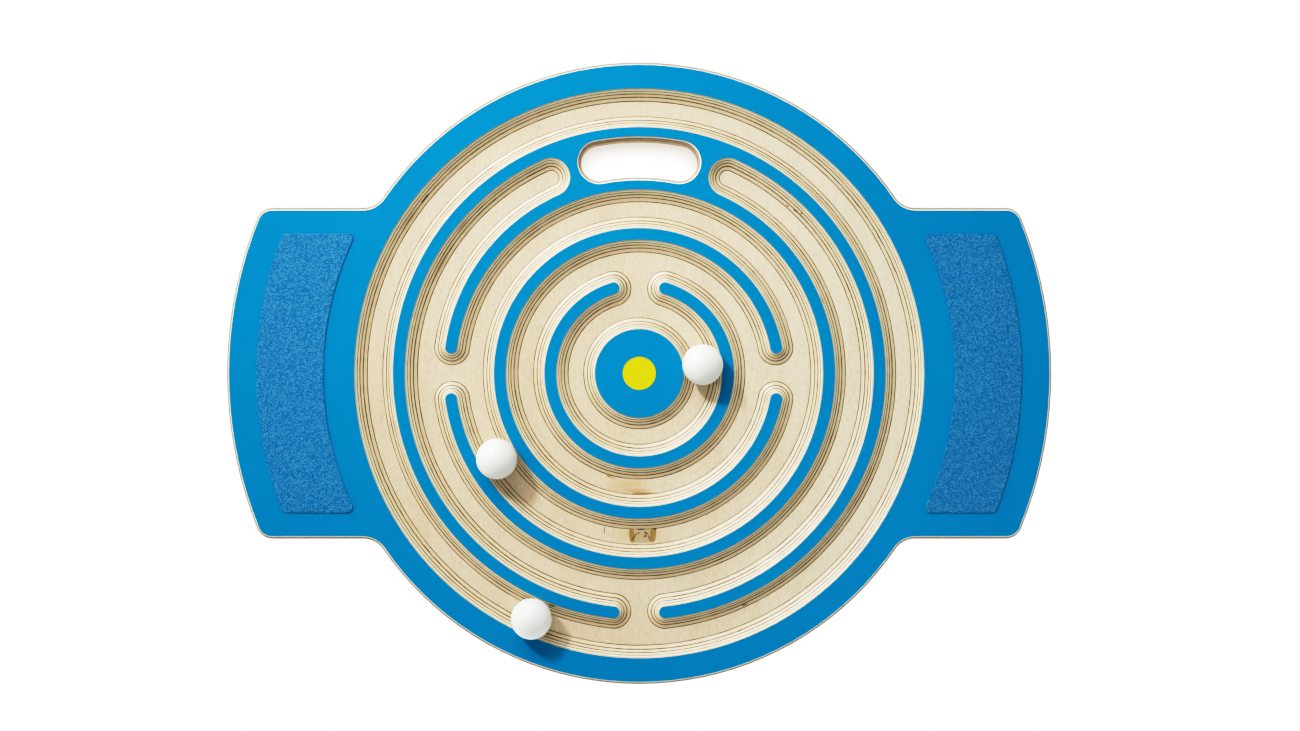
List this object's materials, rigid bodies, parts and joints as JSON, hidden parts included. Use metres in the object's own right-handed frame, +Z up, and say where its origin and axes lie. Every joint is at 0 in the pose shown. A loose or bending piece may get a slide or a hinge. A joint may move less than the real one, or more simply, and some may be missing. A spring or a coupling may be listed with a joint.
{
  "type": "balance board ball maze",
  "caption": "Wooden balance board with milled ring-shaped ball tracks, loose balls, wings with grip pads for the feet, a hand hole and a domed rocker foot.",
  "frame": {"origin": "on the floor, under the middle of the rocker foot", "axes": "+X to the right wing, +Y to the hand hole, +Z up"},
  "size_m": [0.6652, 0.5016, 0.1034],
  "materials": {
    "birch_ply": "satin lacquer over cut veneers",
    "blue_laminate": "satin",
    "blue_grip": "rough grain",
    "yellow_badge": "gloss",
    "white_ball": "satin",
    "turned_beech": "satin lacquer",
    "black_rubber": "matte",
    "screw_steel": "zinc plated"
  },
  "bodies": {
    "board": {"base_panel": "birch_ply", "rim_frame": "birch_ply", "outer_wall": "birch_ply", "middle_wall": "birch_ply", "inner_wall": "birch_ply", "centre_island": "birch_ply", "rim_laminate": "blue_laminate", "outer_wall_laminate": "blue_laminate", "middle_wall_laminate": "blue_laminate", "inner_wall_laminate": "blue_laminate", "island_laminate": "blue_laminate", "left_grip_pad": "blue_grip", "right_grip_pad": "blue_grip", "centre_badge": "yellow_badge", "rocker_foot": "turned_beech", "foot_tread": "black_rubber", "foot_screw_a": "screw_steel", "foot_screw_b": "screw_steel", "foot_screw_c": "screw_steel", "foot_screw_d": "screw_steel"},
    "inner_ball_body": {"inner_ball": "white_ball"},
    "middle_ball_body": {"middle_ball": "white_ball"},
    "outer_ball_body": {"outer_ball": "white_ball"}
  },
  "joints": [
    {"name": "inner_ball_orbit", "type": "hinge", "parent": "board", "child": "inner_ball_body", "pos_m": [0, 0, 0.08715], "axis": [0, 0, 1], "continuous": true},
    {"name": "middle_ball_orbit", "type": "hinge", "parent": "board", "child": "middle_ball_body", "pos_m": [0, 0, 0.08715], "axis": [0, 0, 1], "continuous": true},
    {"name": "outer_ball_orbit", "type": "hinge", "parent": "board", "child": "outer_ball_body", "pos_m": [0, 0, 0.08715], "axis": [0, 0, 1], "continuous": true}
  ]
}
